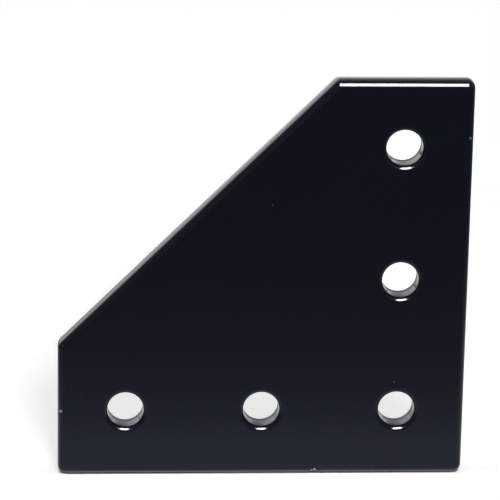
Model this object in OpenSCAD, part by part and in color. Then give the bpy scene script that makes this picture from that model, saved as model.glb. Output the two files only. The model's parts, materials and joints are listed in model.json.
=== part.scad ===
// Flat corner plate that joins two slotted profiles at a right angle.
// It stands on its lower side: X runs along that side, the front faces -Y and Z is up.
// The origin is below the middle of the plate, on the surface that it stands on.

/* [Plate] */
// Length of the lower side
plate_w = 60; // [52:0.5:90]
// Length of the upright side
plate_h = 60; // [52:0.5:90]
// Width of each arm at its end, where the sloping side begins
arm_end_w = 20; // [16:0.5:28]
// Thickness of the plate
plate_t = 4; // [3:0.1:6]

/* [Edges] */
// Radius of the outline's corners
corner_r = 1.2; // [0.8:0.1:4]
// Radius of the rounded edge around the front face
front_edge_r = 1; // [0.4:0.1:2]
// Radius of the rounded edge around the back face
back_edge_r = 1.1; // [0.4:0.1:2]

/* [Screw holes] */
// Diameter of each hole, which passes an M5 screw
hole_d = 5.3; // [4.4:0.1:6.6]
// Distance between neighbouring hole axes
hole_pitch = 20; // [14:0.5:30]
// Distance of the corner hole's axis from the two outer sides
hole_inset = 10; // [7:0.5:14]
// Least distance of a hole's axis from the end of its arm
hole_end_min = 7; // [6:0.5:10]
// Radius of the rolled rim at a hole's front
front_rim_r = 0.7; // [0.3:0.05:1.2]
// Radius of the rounded rim at a hole's back
back_rim_r = 0.5; // [0.3:0.05:1.2]

/* [Hidden] */
$fn = 64;

// Length by which a cutter passes the surface that it cuts
over = 0.5;
// Flat that an edge's rounding leaves over the corner arcs' centres
edge_land = 0.1;

hole_r = hole_d / 2;
front_r = min(front_edge_r, corner_r - edge_land);
back_r = min(back_edge_r, corner_r - edge_land, plate_t - front_r);

// Ends of the sloping side seen from the front, and the headings of the sides' outward normals
slope_top = [plate_w / 2 - arm_end_w, plate_h];
slope_foot = [-plate_w / 2, arm_end_w];
slope_heading = atan2(slope_top[0] - slope_foot[0], slope_foot[1] - slope_top[1]);
top_heading = 90;
left_heading = 180;

// Narrow flat that eases the corner between two sides and touches the arc of the corner radius midway
function easing_flat(corner, from, to) =
    let (heading = (from + to) / 2)
    let (inset = corner_r / cos((to - from) / 2) - corner_r)
    [corner - inset * [cos(heading), sin(heading)], heading];

// Flats that take the fourth corner off a rectangle, each as a point on it and its normal's heading
slope_flats = [
    [slope_top, slope_heading],
    easing_flat(slope_top, top_heading, slope_heading),
    easing_flat(slope_foot, slope_heading, left_heading)
];

// Places of the holes, from the corner out along each arm
function holes_along(side_length) =
    floor((side_length - hole_inset - hole_end_min) / hole_pitch);
corner_hole = [plate_w / 2 - hole_inset, hole_inset];
hole_places = concat(
    [corner_hole],
    [for (k = [1 : 1 : holes_along(plate_w)]) corner_hole - [k * hole_pitch, 0]],
    [for (k = [1 : 1 : holes_along(plate_h)]) corner_hole + [0, k * hole_pitch]]
);

// Spandrel between a square corner and the arc that rounds it
module spandrel(r) {
    difference() {
        square(r + over);
        circle(r);
    }
}

// Section of the plate's margin, from the corner arcs' centres out to the edge,
// with the back at the bottom and the front at the top
module margin_section() {
    difference() {
        translate([0, -plate_t / 2]) square([corner_r, plate_t]);
        translate([corner_r - front_r, plate_t / 2 - front_r]) spandrel(front_r);
        translate([corner_r - back_r, back_r - plate_t / 2]) mirror([0, 1]) spandrel(back_r);
    }
}

// Rectangular plate lying on its back, with the margin swept round it
module rounded_rectangle() {
    field = [plate_w - 2 * corner_r, plate_h - 2 * corner_r];
    translate([0, plate_h / 2]) {
        linear_extrude(height = plate_t, center = true) square(field, center = true);
        for (quarter = [0 : 3]) {
            turned = quarter % 2 == 0 ? field : [field[1], field[0]];
            rotate(90 * quarter) translate(turned / 2) {
                rotate_extrude(angle = 90) margin_section();
                rotate([90, 0, 0]) linear_extrude(height = turned[1]) margin_section();
            }
        }
    }
}

// All that lies beyond a straight side along Y with the same margin
module beyond_side() {
    span = plate_w + plate_h;
    rotate([90, 0, 0]) linear_extrude(height = 2 * span, center = true)
        difference() {
            translate([-max(front_r, back_r), -plate_t / 2 - over])
                square([span, plate_t + 2 * over]);
            translate([-corner_r, 0]) margin_section();
        }
}

// The rectangle after its first few flats have been cut
module cut_blank(cuts) {
    if (cuts == 0) {
        rounded_rectangle();
    } else {
        flat = slope_flats[cuts - 1];
        difference() {
            cut_blank(cuts - 1);
            translate(flat[0]) rotate(flat[1]) beyond_side();
        }
    }
}

// Half section of the mouth that a rounded rim gives a hole, from the end of the bore to past the face
module mouth_section(rim_r) {
    difference() {
        square([hole_r + rim_r, rim_r + over]);
        translate([hole_r + rim_r, 0]) circle(rim_r);
    }
}

// Half section of a punched hole: a bore with a rounded rim at both faces
module hole_section() {
    translate([0, -plate_t / 2 - over]) square([hole_r, plate_t + 2 * over]);
    translate([0, plate_t / 2 - front_rim_r]) mouth_section(front_rim_r);
    translate([0, back_rim_r - plate_t / 2]) mirror([0, 1]) mouth_section(back_rim_r);
}

// The whole plate, stood up on its lower side
module corner_plate() {
    color([0.03, 0.03, 0.035])
        rotate([90, 0, 0])
        difference() {
            cut_blank(len(slope_flats));
            for (place = hole_places)
                translate(place) rotate_extrude() hole_section();
        }
}

corner_plate();
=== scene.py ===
"""Looks of a flat corner plate: its rounded edges, its black coat, the white board under it and the lamps."""

import json
import logging
import math
from collections.abc import Callable
from dataclasses import dataclass
from enum import Enum
from typing import Any

import bmesh
import bpy
from mathutils import Matrix, Vector

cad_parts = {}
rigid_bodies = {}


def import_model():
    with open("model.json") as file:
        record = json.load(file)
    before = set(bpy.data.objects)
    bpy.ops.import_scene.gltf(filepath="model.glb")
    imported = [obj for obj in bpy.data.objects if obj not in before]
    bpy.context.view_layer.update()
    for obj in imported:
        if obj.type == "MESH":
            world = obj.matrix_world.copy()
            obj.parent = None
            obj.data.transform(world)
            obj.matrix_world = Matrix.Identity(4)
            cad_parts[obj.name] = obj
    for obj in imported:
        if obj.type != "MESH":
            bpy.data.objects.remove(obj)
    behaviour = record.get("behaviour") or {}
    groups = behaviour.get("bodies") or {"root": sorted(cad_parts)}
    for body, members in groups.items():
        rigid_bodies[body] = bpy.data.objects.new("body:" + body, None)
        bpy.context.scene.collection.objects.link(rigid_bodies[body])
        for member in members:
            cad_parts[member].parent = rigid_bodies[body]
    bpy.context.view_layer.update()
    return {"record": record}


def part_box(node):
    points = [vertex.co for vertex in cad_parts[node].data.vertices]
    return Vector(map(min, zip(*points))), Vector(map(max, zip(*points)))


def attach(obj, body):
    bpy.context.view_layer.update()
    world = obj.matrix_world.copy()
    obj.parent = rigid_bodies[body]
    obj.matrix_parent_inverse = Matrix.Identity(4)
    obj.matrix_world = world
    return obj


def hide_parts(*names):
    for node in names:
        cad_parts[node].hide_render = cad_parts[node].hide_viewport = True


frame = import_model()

LOG = logging.getLogger("corner_plate")
MM = 0.001
BODY = "root"
NODE = "corner_plate"

# Distance past everything in the scene
FAR = 10.0


class Element(Enum):
    """Kinds of mesh element that can be chosen in edit mode."""

    VERTEX = "VERT"
    EDGE = "EDGE"
    FACE = "FACE"


class Face(Enum):
    """The two broad faces of the plate as it lies on its back, by the sign of their height."""

    FRONT = 1
    BACK = -1


class Workpiece:
    """A mesh that is shaped in edit mode, with its elements chosen by their place."""

    # Distance within which two places count as one
    TOUCH = 1e-6

    def __init__(self, obj: bpy.types.Object) -> None:
        """Takes over an object.

        Args:
            obj: The mesh object to shape.
        """
        self.obj = obj

    @classmethod
    def from_active(cls, name: str) -> "Workpiece":
        """Takes over the object that an operator has just added.

        Args:
            name: The object's new name.

        Returns:
            The workpiece around it.
        """
        obj = bpy.context.active_object
        obj.name = name
        obj.data.name = name
        return cls(obj)

    def edit(self) -> None:
        """Opens the mesh alone in edit mode."""
        self.leave()
        bpy.ops.object.select_all(action="DESELECT")
        self.obj.select_set(True)
        bpy.context.view_layer.objects.active = self.obj
        bpy.ops.object.mode_set(mode="EDIT")

    @staticmethod
    def leave() -> None:
        """Goes back to object mode."""
        if bpy.context.mode != "OBJECT":
            bpy.ops.object.mode_set(mode="OBJECT")

    def choose(self, kind: Element, test: Callable[[Vector], bool], open_only: bool = False) -> None:
        """Selects the elements whose corners all pass a test, and nothing else.

        Args:
            kind: What to select.
            test: Says of a corner's place whether it belongs.
            open_only: Whether only edges with fewer than two faces count.
        """
        bpy.ops.mesh.select_mode(type=kind.value)
        bpy.ops.mesh.select_all(action="DESELECT")
        mesh = bmesh.from_edit_mesh(self.obj.data)
        elements = {Element.VERTEX: mesh.verts, Element.EDGE: mesh.edges, Element.FACE: mesh.faces}[kind]
        for element in elements:
            corners = [element] if kind is Element.VERTEX else element.verts
            if open_only and len(element.link_faces) > 1:
                continue
            if all(test(corner.co) for corner in corners):
                element.select_set(True)
        mesh.select_flush_mode()
        bmesh.update_edit_mesh(self.obj.data)

    def apply_place(self) -> None:
        """Writes the object's place, turn and scale into its mesh."""
        self.leave()
        bpy.ops.object.select_all(action="DESELECT")
        self.obj.select_set(True)
        bpy.context.view_layer.objects.active = self.obj
        bpy.ops.object.transform_apply(location=True, rotation=True, scale=True)


class NodeBoard:
    """A node tree that is wired up by short calls."""

    # Numbers of a Mix node's colour sockets, whose names its other sockets share
    FIRST_COLOUR = 6
    SECOND_COLOUR = 7
    MIXED_COLOUR = 2

    def __init__(self, tree: bpy.types.NodeTree) -> None:
        """Clears a tree.

        Args:
            tree: The tree of a material or a world.
        """
        self.tree = tree
        tree.nodes.clear()

    def add(self, kind: str, inputs: dict[str | int, Any] | None = None, **settings: Any) -> bpy.types.Node:
        """Adds a node.

        Args:
            kind: Blender's name of the node type.
            inputs: Values, or output sockets to link, by input name or number.
            settings: Properties of the node.

        Returns:
            The new node.
        """
        node = self.tree.nodes.new(kind)
        for name, value in settings.items():
            setattr(node, name, value)
        for name, value in (inputs or {}).items():
            if isinstance(value, bpy.types.NodeSocket):
                self.tree.links.new(value, node.inputs[name])
            else:
                node.inputs[name].default_value = value
        return node

    def seen(self, rays: bpy.types.Node) -> bpy.types.NodeSocket:
        """Tells the rays that look at a surface from those that only gather light.

        Args:
            rays: A Light Path node.

        Returns:
            1 for camera, glossy and transmission rays.
        """
        looks = rays.outputs["Is Camera Ray"]
        for ray in ("Is Glossy Ray", "Is Transmission Ray"):
            looks = self.math("MAXIMUM", looks, rays.outputs[ray])
        return looks

    def math(self, operation: str, first: Any, second: Any = 0.0) -> bpy.types.NodeSocket:
        """Adds a Math node and returns its result."""
        return self.add("ShaderNodeMath", {0: first, 1: second}, operation=operation).outputs[0]

    def vector(self, operation: str, *places: Any) -> bpy.types.Node:
        """Adds a Vector Math node on two or three places."""
        return self.add("ShaderNodeVectorMath", dict(enumerate(places)), operation=operation)

    def noise(self, place: bpy.types.NodeSocket, scale: float, detail: float) -> bpy.types.Node:
        """Adds a Noise Texture node with a scale and a number of finer octaves."""
        return self.add("ShaderNodeTexNoise", {"Vector": place, "Scale": scale, "Detail": detail})

    def mixed(self, share: bpy.types.NodeSocket, first: Any, second: Any) -> bpy.types.NodeSocket:
        """Adds a Mix node for two colours.

        Args:
            share: How much of the second colour shows.
            first: Socket or value of the first colour.
            second: Socket or value of the second colour.

        Returns:
            The mixed colour.
        """
        inputs = {"Factor": share, self.FIRST_COLOUR: first, self.SECOND_COLOUR: second}
        return self.add("ShaderNodeMix", inputs, data_type="RGBA").outputs[self.MIXED_COLOUR]

    def ramp(self, value: Any, low: float, high: float, to_low: float = 0.0,
             to_high: float = 1.0) -> bpy.types.NodeSocket:
        """Adds a clamped Map Range node.

        Args:
            value: The socket or number that is mapped.
            low: Value that gives to_low.
            high: Value that gives to_high.
            to_low: First result.
            to_high: Second result.

        Returns:
            The mapped value.
        """
        inputs = {"Value": value, "From Min": low, "From Max": high, "To Min": to_low, "To Max": to_high}
        return self.add("ShaderNodeMapRange", inputs).outputs["Result"]


@dataclass(frozen=True)
class Chip:
    """A small spot where the coat is nicked or dusty.

    Its place is in the frame of the standing plate, and its bareness is the share of pale ground that shows.
    """

    place: tuple[float, float, float]
    radius: float
    bareness: float


# Nicks along the edges and the larger grains of dust on the front
COAT_CHIPS = (
    Chip((29.43 * MM, -1.9 * MM, 51.56 * MM), 0.24 * MM, 0.4),
    Chip((-29.53 * MM, -1.85 * MM, 9.92 * MM), 0.28 * MM, 0.7),
    Chip((8.09 * MM, -1.94 * MM, 0.66 * MM), 0.26 * MM, 0.9),
    Chip((7.64 * MM, -1.85 * MM, 0.47 * MM), 0.2 * MM, 0.8),
    Chip((-29.32 * MM, -1.95 * MM, 20.16 * MM), 0.24 * MM, 0.2),
    Chip((19.5 * MM, -2.0 * MM, 14.37 * MM), 0.18 * MM, 0.16),
    Chip((1.04 * MM, -2.0 * MM, 41.52 * MM), 0.16 * MM, 0.12),
    Chip((-28.95 * MM, -2.0 * MM, 12.95 * MM), 0.13 * MM, 0.08),
    Chip((-26.61 * MM, -2.0 * MM, 12.48 * MM), 0.13 * MM, 0.08),
)


@dataclass(frozen=True)
class GlossBlackCoat:
    """Stoved black coat: deep blue-black, glossy, with a fine orange peel and a little dust."""

    name: str = "gloss_black_coat"
    colour: tuple[float, float, float] = (0.0018, 0.0032, 0.0056)
    dust_colour: tuple[float, float, float] = (0.10, 0.10, 0.105)
    chip_colour: tuple[float, float, float] = (0.45, 0.45, 0.46)
    gloss_tint: tuple[float, float, float] = (0.39, 0.435, 0.60)

    # Chips: how far their edges wander, how finely, and the share of the radius that is fully bare
    chips: tuple[Chip, ...] = COAT_CHIPS
    chip_raggedness: float = 0.25 * MM
    chip_grain_scale: float = 4000.0
    chip_core: float = 0.6

    # Roughness: of the smoothest and the dullest gloss, the clouds between them, the marks and the
    # torn walls, which start at a depth and end at a margin round the bore
    roughness: tuple[float, float] = (0.10, 0.15)
    cloud_scale: float = 140.0
    cloud_span: tuple[float, float] = (0.3, 0.7)
    mark_roughness: float = 0.7
    torn_roughness: float = 0.45
    torn_depth: tuple[float, float] = (-0.3 * MM, 0.9 * MM)
    torn_margin: tuple[float, float] = (0.2 * MM, 0.1 * MM)

    # Orange peel and the slow waves under it
    peel_scale: float = 1100.0
    peel_height: float = 0.0009 * MM
    wave_scale: float = 160.0
    wave_height: float = 0.012 * MM

    # Dust specks: radius in cells of the scatter, share of cells that hold one, and their spread in both
    speck_scale: float = 380.0
    speck_radius: float = 0.045
    speck_least: float = 0.4
    speck_share: float = 0.06
    speck_fade: float = 0.7

    def material(self, holes: list[tuple[float, float]], radius: float) -> bpy.types.Material:
        """Builds the coat's material.

        Args:
            holes: Places of the hole axes in the standing plate, across and up.
            radius: Radius of the holes.

        Returns:
            A material that reads Object coordinates.
        """
        made = bpy.data.materials.new(self.name)
        made.use_nodes = True
        board = NodeBoard(made.node_tree)
        place = board.add("ShaderNodeTexCoord").outputs["Object"]
        specks = self.specks(board, place)
        bare = self.bare(board, place)
        dusty = board.mixed(specks, (*self.colour, 1), (*self.dust_colour, 1))
        colour = board.mixed(bare, dusty, (*self.chip_colour, 1))
        cloud = board.noise(place, self.cloud_scale, 3.0)
        gloss = board.ramp(cloud.outputs["Fac"], *self.cloud_span, *self.roughness)
        torn = board.math("MULTIPLY", self.torn(board, place, holes, radius), self.torn_roughness)
        marks = board.math("MULTIPLY", board.math("MAXIMUM", specks, bare), self.mark_roughness)
        roughness = board.math("MAXIMUM", board.math("MAXIMUM", gloss, torn), marks)
        shader = board.add("ShaderNodeBsdfPrincipled", {
            "Base Color": colour,
            "Roughness": roughness,
            "Specular Tint": (*self.gloss_tint, 1),
            "Normal": self.peel(board, place),
        })
        board.add("ShaderNodeOutputMaterial", {"Surface": shader.outputs["BSDF"]})
        return made

    def torn(self, board: NodeBoard, place: bpy.types.NodeSocket, holes: list[tuple[float, float]],
             radius: float) -> bpy.types.NodeSocket:
        """Masks the rear of the holes' walls, where the punch tore the metal.

        Args:
            board: The material's nodes.
            place: Object coordinates.
            holes: Places of the hole axes, across and up.
            radius: Radius of the holes.

        Returns:
            A mask that rises to 1 towards the back of each hole.
        """
        flat = board.vector("MULTIPLY", place, (1, 0, 1))
        nearest: bpy.types.NodeSocket | float = FAR
        for x, z in holes:
            away = board.vector("DISTANCE", flat.outputs[0], (x, 0, z))
            nearest = board.math("MINIMUM", nearest, away.outputs["Value"])
        inside = board.ramp(nearest, *(radius + margin for margin in self.torn_margin))
        depth = board.add("ShaderNodeSeparateXYZ", {"Vector": place}).outputs["Y"]
        return board.math("MULTIPLY", inside, board.ramp(depth, *self.torn_depth))

    def bare(self, board: NodeBoard, place: bpy.types.NodeSocket) -> bpy.types.NodeSocket:
        """Marks the chips, with ragged edges.

        Args:
            board: The material's nodes.
            place: Object coordinates.

        Returns:
            The share of pale ground that shows.
        """
        grain = board.noise(place, self.chip_grain_scale, 1.0)
        whole = (self.chip_raggedness,) * 3
        half = (self.chip_raggedness / 2,) * 3
        shaken = board.vector("MULTIPLY_ADD", grain.outputs["Color"], whole, place)
        ragged = board.vector("SUBTRACT", shaken.outputs[0], half)
        share: bpy.types.NodeSocket | float = 0.0
        for chip in self.chips:
            away = board.vector("DISTANCE", ragged.outputs[0], chip.place)
            core = chip.radius * self.chip_core
            spot = board.ramp(away.outputs["Value"], chip.radius, core, 0.0, chip.bareness)
            share = board.math("MAXIMUM", share, spot)
        return share

    def specks(self, board: NodeBoard, place: bpy.types.NodeSocket) -> bpy.types.NodeSocket:
        """Scatters dust specks.

        Args:
            board: The material's nodes.
            place: Object coordinates.

        Returns:
            A mask that is 1 on a speck.
        """
        cells = board.add("ShaderNodeTexVoronoi", {"Vector": place, "Scale": self.speck_scale})
        chance = board.add("ShaderNodeSeparateColor", {"Color": cells.outputs["Color"]})
        kept = board.ramp(chance.outputs["Red"], self.speck_share, self.speck_share * self.speck_fade)
        least = self.speck_radius * self.speck_least
        size = board.ramp(chance.outputs["Green"], 0.0, 1.0, least, self.speck_radius)
        spot = board.math("LESS_THAN", cells.outputs["Distance"], size)
        return board.math("MULTIPLY", spot, board.math("MULTIPLY", kept, chance.outputs["Blue"]))

    def peel(self, board: NodeBoard, place: bpy.types.NodeSocket) -> bpy.types.NodeSocket:
        """Raises the orange peel over slow waves of the coat.

        Args:
            board: The material's nodes.
            place: Object coordinates.

        Returns:
            The bumped normal.
        """
        waves = board.noise(place, self.wave_scale, 1.0)
        grain = board.noise(place, self.peel_scale, 2.0)
        slow = board.add("ShaderNodeBump", {
            "Strength": 1.0, "Distance": self.wave_height, "Height": waves.outputs["Fac"]})
        fine = board.add("ShaderNodeBump", {
            "Strength": 1.0, "Distance": self.peel_height, "Height": grain.outputs["Fac"],
            "Normal": slow.outputs["Normal"]})
        return fine.outputs["Normal"]


@dataclass(frozen=True)
class PaintedLitPatch:
    """Painted light and shade on a white surface: the part that is painted fully white as if fully lit, and
    the painted shade by which its white falls off beyond.

    Its upper limit comes down by the lean for each metre to the right.
    """

    fall_off: float
    far_level: float
    far_seen: float = 0.85
    left: float = -FAR
    right: float = FAR
    front: float = -FAR
    top: float = FAR
    lean: float = 0.0

    def level(self, board: NodeBoard, rays: bpy.types.Node) -> bpy.types.NodeSocket:
        """Works out how white the painted light and shade make the surface at a place.

        Args:
            board: The nodes of the surface's material.
            rays: Its Light Path node.

        Returns:
            A level that is 1 on the painted lit part and sinks by painted shade to the far level round it,
            less so to the camera.
        """
        place = board.add("ShaderNodeTexCoord").outputs["Object"]
        split = board.add("ShaderNodeSeparateXYZ", {"Vector": place})
        beside = board.math("MAXIMUM", board.math("SUBTRACT", self.left, split.outputs["X"]),
                            board.math("SUBTRACT", split.outputs["X"], self.right))
        before = board.math("SUBTRACT", self.front, split.outputs["Y"])
        leaning = board.math("MULTIPLY", split.outputs["X"], self.lean)
        above = board.math("SUBTRACT", board.math("ADD", split.outputs["Z"], leaning), self.top)
        beyond: bpy.types.NodeSocket | float = 0.0
        for distance in (above, beside, before):
            beyond = board.math("MAXIMUM", beyond, distance)
        # Painted shade: the white fades with distance beyond the painted lit part
        fade = board.math("EXPONENT", board.math("DIVIDE", beyond, -self.fall_off))
        far = board.ramp(rays.outputs["Is Camera Ray"], 0.0, 1.0, self.far_level, self.far_seen)
        return board.add("ShaderNodeMix", {"Factor": fade, "A": far, "B": 1.0}).outputs["Result"]


@dataclass(frozen=True)
class WhiteBoard:
    """Matt white paint that shows as pure white to the camera and in gloss and still takes shadows, darkened
    by a painted fall-off round its lit part and by painted shade close under the plate.
    """

    name: str
    lift: float
    painted_light: PaintedLitPatch
    white: float = 0.9

    # Painted shade close under the plate: its reach, the share of open air that it fades over, the share
    # taken off for the camera, its darkest level, and the rays that measure it
    contact_reach: float = 1.5 * MM
    contact_air: tuple[float, float] = (0.03, 0.16)
    contact_line: float = 0.34
    contact_dark: float = 0.06
    contact_samples: int = 8

    def material(self) -> bpy.types.Material:
        """Builds the board's material.

        Returns:
            A diffuse material with a small lift for what looks at it, both darkened by painted shade.
        """
        made = bpy.data.materials.new(self.name)
        made.use_nodes = True
        board = NodeBoard(made.node_tree)
        rays = board.add("ShaderNodeLightPath")
        # Painted shade: the paint darkens where little open air is round it, more so to the camera, but not
        # in gloss
        air = board.add("ShaderNodeAmbientOcclusion", {"Distance": self.contact_reach},
                        samples=self.contact_samples)
        line = board.math("MULTIPLY", rays.outputs["Is Camera Ray"], self.contact_line)
        open_air = board.math("SUBTRACT", air.outputs["AO"], line)
        painted_contact_level = board.ramp(open_air, *self.contact_air, self.contact_dark, 1.0)
        painted_contact_shade = board.math("MAXIMUM", painted_contact_level, rays.outputs["Is Glossy Ray"])
        # The painted fall-off times the painted contact shade scales both the paint and its lift
        level = board.math("MULTIPLY", self.painted_light.level(board, rays), painted_contact_shade)
        paint = board.math("MULTIPLY", level, self.white)
        colour = board.add("ShaderNodeCombineColor", {"Red": paint, "Green": paint, "Blue": paint})
        diffuse = board.add("ShaderNodeBsdfDiffuse", {"Color": colour.outputs[0]})
        lift = board.math("MULTIPLY", board.math("MULTIPLY", board.seen(rays), self.lift), level)
        glow = board.add("ShaderNodeEmission", {"Strength": lift})
        both = board.add("ShaderNodeAddShader", {0: diffuse.outputs[0], 1: glow.outputs[0]})
        board.add("ShaderNodeOutputMaterial", {"Surface": both.outputs[0]})
        return made


@dataclass(frozen=True)
class PunchedHole:
    """A punched screw hole: a plain bore whose rims are rounded over at both faces."""

    radius: float
    front_rim: float = 0.7 * MM
    back_rim: float = 0.5 * MM
    # Width of the flat ring that joins each rim to its face
    land: float = 0.1 * MM
    rim_steps: int = 12
    turns: int = 96

    def profile(self, thickness: float) -> list[tuple[float, float]]:
        """Half section of the lining, from the front face to the back face.

        Args:
            thickness: The plate's thickness.

        Returns:
            Points as distance from the axis and height over the plate's middle.
        """
        front = self.rim_arc(self.front_rim, thickness / 2)
        back = [(distance, -height) for distance, height in self.rim_arc(self.back_rim, thickness / 2)]
        return front + back[::-1]

    def rim_arc(self, rim: float, face: float) -> list[tuple[float, float]]:
        """Quarter circle from a narrow land on a face into the bore.

        Args:
            rim: The rim's radius.
            face: The face's height.

        Returns:
            Points as distance from the axis and height.
        """
        points = [(self.radius + rim + self.land, face)]
        for step in range(self.rim_steps + 1):
            turn = math.pi / 2 * step / self.rim_steps
            points.append((self.radius + rim * (1 - math.sin(turn)), face - rim * (1 - math.cos(turn))))
        return points

    def lining(self, thickness: float) -> Workpiece:
        """Spins the half section round the axis.

        Args:
            thickness: The plate's thickness.

        Returns:
            The lining, on the Z axis of a plate that lies on its back.
        """
        bpy.ops.object.select_all(action="DESELECT")
        points = self.profile(thickness)
        bpy.ops.mesh.primitive_plane_add(size=self.radius, location=(0, 0, 0))
        piece = Workpiece.from_active("hole_lining")
        piece.edit()
        bpy.ops.mesh.select_mode(type=Element.VERTEX.value)
        bpy.ops.mesh.select_all(action="SELECT")
        bpy.ops.mesh.merge(type="CENTER")
        bpy.ops.transform.translate(value=(points[0][0], 0, points[0][1]))
        for here, there in zip(points, points[1:]):
            step = (there[0] - here[0], 0, there[1] - here[1])
            bpy.ops.mesh.extrude_vertices_move(TRANSFORM_OT_translate={"value": step})
        bpy.ops.mesh.select_all(action="SELECT")
        bpy.ops.mesh.spin(steps=self.turns, angle=math.tau, center=(0, 0, 0), axis=(0, 0, 1))
        bpy.ops.mesh.select_all(action="SELECT")
        bpy.ops.mesh.remove_doubles(threshold=Workpiece.TOUCH)
        piece.leave()
        return piece


@dataclass(frozen=True)
class EdgeSection:
    """Section of the plate's margin: a slightly crowned side between two rounded edges."""

    front_radius: float = 1.0 * MM
    back_radius: float = 1.1 * MM
    # Angle that the side turns through from its widest line to either rounding
    crown: float = math.radians(8)
    # Half the height of the straight strip at the widest line
    waist: float = 0.05 * MM
    crown_steps: int = 4
    round_steps: int = 14

    def crown_radius(self, thickness: float) -> float:
        """Radius of the arc that the side bulges along."""
        rounded = (self.front_radius + self.back_radius) * (1 - math.sin(self.crown))
        return (thickness - rounded) / (2 * math.sin(self.crown))

    def rings(self, face: Face, thickness: float) -> list[tuple[float, float]]:
        """Rings of the section, from the side's widest line to a face.

        Args:
            face: The front or the back.
            thickness: The plate's thickness.

        Returns:
            Each ring's distance inside the outline and its height over the widest line.
        """
        wide = self.crown_radius(thickness)
        radius = self.front_radius if face is Face.FRONT else self.back_radius
        turns = [self.crown * step / self.crown_steps for step in range(1, self.crown_steps + 1)]
        rings = [(wide * (1 - math.cos(turn)), wide * math.sin(turn)) for turn in turns]
        inset, height = rings[-1]
        for step in range(1, self.round_steps + 1):
            turn = self.crown + (math.pi / 2 - self.crown) * step / self.round_steps
            rings.append((inset + radius * (math.cos(self.crown) - math.cos(turn)),
                          height + radius * (math.sin(turn) - math.sin(self.crown))))
        return rings

    def widest(self, thickness: float) -> float:
        """Height of the side's widest line over the plate's middle."""
        return thickness / 2 - self.rings(Face.FRONT, thickness)[-1][1]


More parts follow.
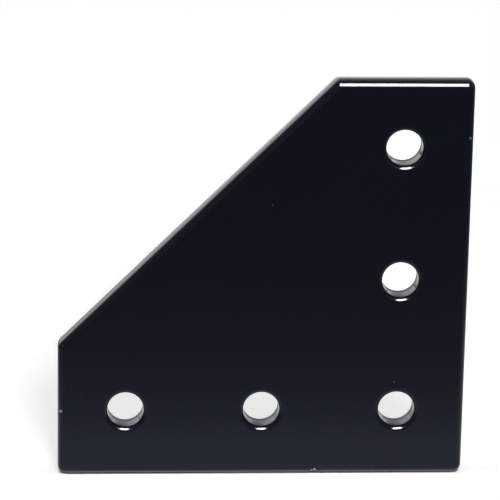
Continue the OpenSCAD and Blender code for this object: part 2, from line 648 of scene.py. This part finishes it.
@dataclass
class CornerPlate:
    """The plate: a blank with one corner sheared off, rounded edges and punched holes."""

    width: float
    height: float
    thickness: float
    hole: PunchedHole
    hole_places: list[tuple[float, float]]
    coat: GlossBlackCoat
    arm_end: float = 20 * MM
    corner_radius: float = 1.2 * MM
    edge: EdgeSection = EdgeSection()
    # Width of the flat ring inside the rounded edge of each face
    land: float = 0.01 * MM
    right_corner_steps: int = 16
    slope_corner_steps: int = 8
    smooth_angle: float = math.radians(35)

    @classmethod
    def from_frame(cls, record: dict[str, Any], coat: GlossBlackCoat) -> "CornerPlate":
        """Takes the plate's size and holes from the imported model.

        Args:
            record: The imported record.
            coat: The plate's finish.

        Returns:
            A plate that is ready to be built.
        """
        low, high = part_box(NODE)
        bores = [mount for mount in record["mounts"] if mount["kind"] == "bore"]
        return cls(
            width=high.x - low.x,
            height=high.z - low.z,
            thickness=high.y - low.y,
            hole=PunchedHole(radius=bores[0]["dims"]["r_mm"] * MM),
            hole_places=[(mount["pos_m"][0], mount["pos_m"][2]) for mount in bores],
            coat=coat,
        )

    def build(self) -> bpy.types.Object:
        """Models the plate, stands it up and gives it its coat.

        Returns:
            The finished piece, which stands for the CAD node.
        """
        plate = self.outline()
        self.thicken(plate)
        self.punch(plate)
        self.stand(plate)
        plate.obj.data.materials.clear()
        plate.obj.data.materials.append(self.coat.material(self.hole_places, self.hole.radius))
        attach(plate.obj, BODY)
        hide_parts(NODE)
        return plate.obj

    def outline(self) -> Workpiece:
        """Shears the corner off a rectangle and rounds the five corners that are left.

        Returns:
            One flat face that lies at the foot of the side's widest strip.
        """
        bpy.ops.object.select_all(action="DESELECT")
        level = self.edge.widest(self.thickness) - self.edge.waist
        bpy.ops.mesh.primitive_plane_add(size=1, location=(0, self.height / 2, level))
        plate = Workpiece.from_active("coated_corner_plate")
        plate.obj.scale = (self.width, self.height, 1)
        plate.apply_place()
        plate.edit()
        bpy.ops.mesh.select_all(action="SELECT")
        top = Vector((self.width / 2 - self.arm_end, self.height, 0))
        foot = Vector((-self.width / 2, self.arm_end, 0))
        outward = (top - foot).cross(Vector((0, 0, -1)))
        bpy.ops.mesh.bisect(plane_co=top, plane_no=outward, clear_outer=True)
        slope_turn = math.atan2(top.y - foot.y, top.x - foot.x)
        sides = (-self.width / 2, self.width / 2)
        blank_corners = [Vector((side, end, 0)) for side in sides for end in (0, self.height)]
        for corners, turn, steps in ((blank_corners, math.pi / 2, self.right_corner_steps),
                                     ([top, foot], slope_turn, self.slope_corner_steps)):
            plate.choose(Element.VERTEX, self.at_one_of(corners))
            bpy.ops.mesh.bevel(offset=self.corner_radius * math.tan(turn / 2), segments=steps,
                               affect="VERTICES", clamp_overlap=False)
        return plate

    @staticmethod
    def at_one_of(corners: list[Vector]) -> Callable[[Vector], bool]:
        """Makes a test for places at any of some corners, seen from the front."""
        return lambda place: any((place.xy - corner.xy).length < Workpiece.TOUCH for corner in corners)

    def thicken(self, plate: Workpiece) -> None:
        """Carries the edge section round the outline, from its widest strip to both faces.

        Args:
            plate: The flat outline.
        """
        waist = self.edge.waist
        bpy.ops.mesh.select_mode(type=Element.FACE.value)
        bpy.ops.mesh.select_all(action="SELECT")
        bpy.ops.mesh.extrude_region_move(TRANSFORM_OT_translate={"value": (0, 0, 2 * waist)})
        bpy.ops.mesh.select_all(action="SELECT")
        bpy.ops.mesh.normals_make_consistent(inside=False)
        for face in Face:
            level = self.edge.widest(self.thickness) + face.value * waist
            plate.choose(Element.FACE, lambda place: abs(place.z - level) < Workpiece.TOUCH)
            last_inset, last_height = 0.0, waist
            for inset, height in self.edge.rings(face, self.thickness):
                bpy.ops.mesh.inset(thickness=inset - last_inset, depth=height - last_height)
                last_inset, last_height = inset, height
            bpy.ops.mesh.inset(thickness=self.land)

    def on_face(self, face: Face) -> Callable[[Vector], bool]:
        """Makes a test for places on one broad face.

        Args:
            face: The front or the back.

        Returns:
            A test that is true on that face's plane.
        """
        height = face.value * self.thickness / 2
        return lambda place: abs(place.z - height) < Workpiece.TOUCH

    def punch(self, plate: Workpiece) -> None:
        """Opens both faces, sets a lining at every hole and fills the faces round them.

        Args:
            plate: The closed plate without holes.
        """
        for face in Face:
            plate.choose(Element.FACE, self.on_face(face))
            bpy.ops.mesh.select_less()
            bpy.ops.mesh.delete(type="ONLY_FACE")
        plate.leave()
        first = self.hole.lining(self.thickness)
        for x, y in self.hole_places:
            copy = first.obj.copy()
            copy.data = first.obj.data.copy()
            bpy.context.collection.objects.link(copy)
            copy.location = (x, y, 0)
            bpy.ops.object.select_all(action="DESELECT")
            copy.select_set(True)
            plate.obj.select_set(True)
            bpy.context.view_layer.objects.active = plate.obj
            bpy.ops.object.join()
        bpy.data.objects.remove(first.obj)
        plate.edit()
        for face in Face:
            plate.choose(Element.EDGE, self.on_face(face), open_only=True)
            bpy.ops.mesh.fill(use_beauty=True)
        bpy.ops.mesh.select_all(action="SELECT")
        bpy.ops.mesh.normals_make_consistent(inside=False)
        plate.leave()

    def stand(self, plate: Workpiece) -> None:
        """Stands the plate up on its lower side and smooths its roundings.

        Args:
            plate: The finished plate, lying on its back.
        """
        plate.obj.rotation_euler = (math.pi / 2, 0, 0)
        plate.apply_place()
        bpy.ops.object.shade_smooth_by_angle(angle=self.smooth_angle)


@dataclass
class Studio:
    """The white board and wall, the lamps and the room round the plate."""

    width: float = 2400 * MM
    board_front: float = 1500 * MM
    board_lift: float = 0.48
    # Painted light on the board: its white is full round the plate and falls off by painted shade beyond
    board_painted_light: PaintedLitPatch = PaintedLitPatch(fall_off=28 * MM, far_level=0.25,
                                     left=-52 * MM, right=82 * MM, front=-14 * MM)
    wall_distance: float = 1200 * MM
    wall_height: float = 1200 * MM
    wall_lift: float = 1.0
    # Painted light on the wall: its white falls off by painted shade above a height that comes down to the
    # right
    wall_painted_light: PaintedLitPatch = PaintedLitPatch(fall_off=200 * MM, far_level=0.1, top=415 * MM, lean=0.7)

    # Lamps: directions seen from the plate, distances and sizes in metres, and powers in watts
    key_azimuth: float = math.radians(7.5)
    key_elevation: float = math.radians(28.5)
    key_distance: float = 2.7
    key_size: float = 0.48
    key_power: float = 32.0
    strip_height: float = 2.4
    strip_size: tuple[float, float] = (2.7, 0.24)
    strip_power: float = 11.0
    card_azimuth: float = math.radians(5)
    card_elevation: float = math.radians(46)
    card_distance: float = 0.6
    card_size: tuple[float, float] = (0.3, 0.44)
    card_power: float = 42.0
    card_colour: tuple[float, float, float] = (1.0, 0.93, 0.77)

    # Light that the room gives, and how bright it looks to the camera and in gloss
    room_level: float = 0.25
    room_seen: float = 0.42

    def build(self, aim: Vector) -> list[bpy.types.Object]:
        """Sets up the stage.

        Args:
            aim: The middle of the plate's top, which the key lamp and the card face.

        Returns:
            The board, the wall and the lamps.
        """
        self.room()
        return [self.board(), self.wall(), *self.lamps(aim)]

    def board(self) -> bpy.types.Object:
        """Lays the white board that the plate stands on.

        Returns:
            The board.
        """
        depth = self.board_front + self.wall_distance
        bpy.ops.object.select_all(action="DESELECT")
        bpy.ops.mesh.primitive_plane_add(size=1, location=(0, depth / 2 - self.board_front, 0))
        paint = WhiteBoard("board_white", self.board_lift, self.board_painted_light)
        return self.dress("white_board", (self.width, depth, 1), paint)

    def wall(self) -> bpy.types.Object:
        """Stands the white wall up behind the plate.

        Returns:
            The wall.
        """
        bpy.ops.object.select_all(action="DESELECT")
        bpy.ops.mesh.primitive_plane_add(size=1, location=(0, self.wall_distance, self.wall_height / 2),
                                         rotation=(math.pi / 2, 0, 0))
        paint = WhiteBoard("wall_white", self.wall_lift, self.wall_painted_light)
        return self.dress("white_wall", (self.width, self.wall_height, 1), paint)

    @staticmethod
    def dress(name: str, scale: tuple[float, float, float], paint: WhiteBoard) -> bpy.types.Object:
        """Gives the plane just added its name, size and paint.

        Args:
            name: The plane's name.
            scale: Its size.
            paint: Its finish.

        Returns:
            The plane.
        """
        plane = Workpiece.from_active(name)
        plane.obj.scale = scale
        plane.apply_place()
        plane.obj.data.materials.append(paint.material())
        return plane.obj

    def room(self) -> None:
        """Makes the room an even pale grey that adds only a little light."""
        world = bpy.data.worlds.new("grey_room")
        world.use_nodes = True
        board = NodeBoard(world.node_tree)
        seen = board.seen(board.add("ShaderNodeLightPath"))
        level = board.ramp(seen, 0.0, 1.0, self.room_level, self.room_seen)
        back = board.add("ShaderNodeBackground", {"Color": (1, 1, 1, 1), "Strength": level})
        board.add("ShaderNodeOutputWorld", {"Surface": back.outputs[0]})
        bpy.context.scene.world = world

    def lamps(self, aim: Vector) -> list[bpy.types.Object]:
        """Hangs the key lamp, the overhead strip and the tall card that the rounded edges mirror.

        Args:
            aim: The place that the key lamp and the card face.

        Returns:
            The three lamps.
        """
        key_place = aim + self.key_distance * self.way(self.key_azimuth, self.key_elevation)
        key = self.lamp("key_lamp", key_place, aim, (self.key_size, self.key_size), self.key_power)
        strip_place = Vector((0, 0, self.strip_height))
        strip = self.lamp("overhead_strip", strip_place, Vector((0, 0, 0)), self.strip_size, self.strip_power)
        for lamp in (key, strip):
            lamp.visible_glossy = False
        card_place = aim + self.card_distance * self.way(self.card_azimuth, self.card_elevation)
        card = self.lamp("card", card_place, aim, self.card_size, self.card_power)
        card.data.color = self.card_colour
        card.visible_diffuse = False
        card.visible_camera = False
        return [key, strip, card]

    @staticmethod
    def way(azimuth: float, elevation: float) -> Vector:
        """Direction from the plate, to the right of its front and up."""
        flat = math.cos(elevation)
        return Vector((math.sin(azimuth) * flat, -math.cos(azimuth) * flat, math.sin(elevation)))

    @staticmethod
    def lamp(name: str, place: Vector, aim: Vector, size: tuple[float, float],
             power: float) -> bpy.types.Object:
        """Adds a rectangular lamp.

        Args:
            name: The lamp's name.
            place: Where it hangs.
            aim: What it faces.
            size: Its width and height.
            power: Its power in watts.

        Returns:
            The lamp's object.
        """
        bpy.ops.object.light_add(type="AREA", location=place)
        lamp = bpy.context.active_object
        lamp.name = name
        lamp.data.shape = "RECTANGLE"
        lamp.data.size, lamp.data.size_y = size
        lamp.data.energy = power
        lamp.rotation_euler = (aim - place).to_track_quat("-Z", "Y").to_euler()
        return lamp


@dataclass(frozen=True)
class PhotoView:
    """The photograph's camera: a long lens a little above and to the left of the plate."""

    # Place that is seen in the middle of the picture
    aim: tuple[float, float, float] = (-2.123 * MM, -2 * MM, 34.743 * MM)
    yaw: float = math.radians(3.71)
    pitch: float = math.radians(17.341)
    roll: float = math.radians(1.096)
    distance: float = 466.12 * MM
    lens_mm: float = 231.5

    def build(self) -> bpy.types.Object:
        """Adds the camera and makes it the scene's.

        Returns:
            The camera.
        """
        turn = (Matrix.Rotation(-self.yaw, 4, "Z") @ Matrix.Rotation(math.pi / 2 - self.pitch, 4, "X")
                @ Matrix.Rotation(self.roll, 4, "Z"))
        bpy.ops.object.camera_add()
        camera = bpy.context.active_object
        camera.name = "photo_camera"
        camera.data.lens = self.lens_mm
        place = Vector(self.aim) + turn.col[2].xyz * self.distance
        camera.matrix_world = Matrix.Translation(place) @ turn
        bpy.context.scene.camera = camera
        return camera


def main() -> None:
    """Builds the plate, its stage and the camera in order, and reports each."""
    logging.basicConfig(level=logging.INFO, format="%(name)s: %(message)s")
    bpy.context.scene.view_settings.view_transform = "Standard"
    plate = CornerPlate.from_frame(frame["record"], GlossBlackCoat())
    piece = plate.build()
    LOG.info("built %s with %d faces", piece.name, len(piece.data.polygons))
    for prop in Studio().build(aim=Vector((0, 0, plate.height))):
        LOG.info("set up %s", prop.name)
    camera = PhotoView().build()
    LOG.info("set up %s", camera.name)


if __name__ == "__main__":
    main()
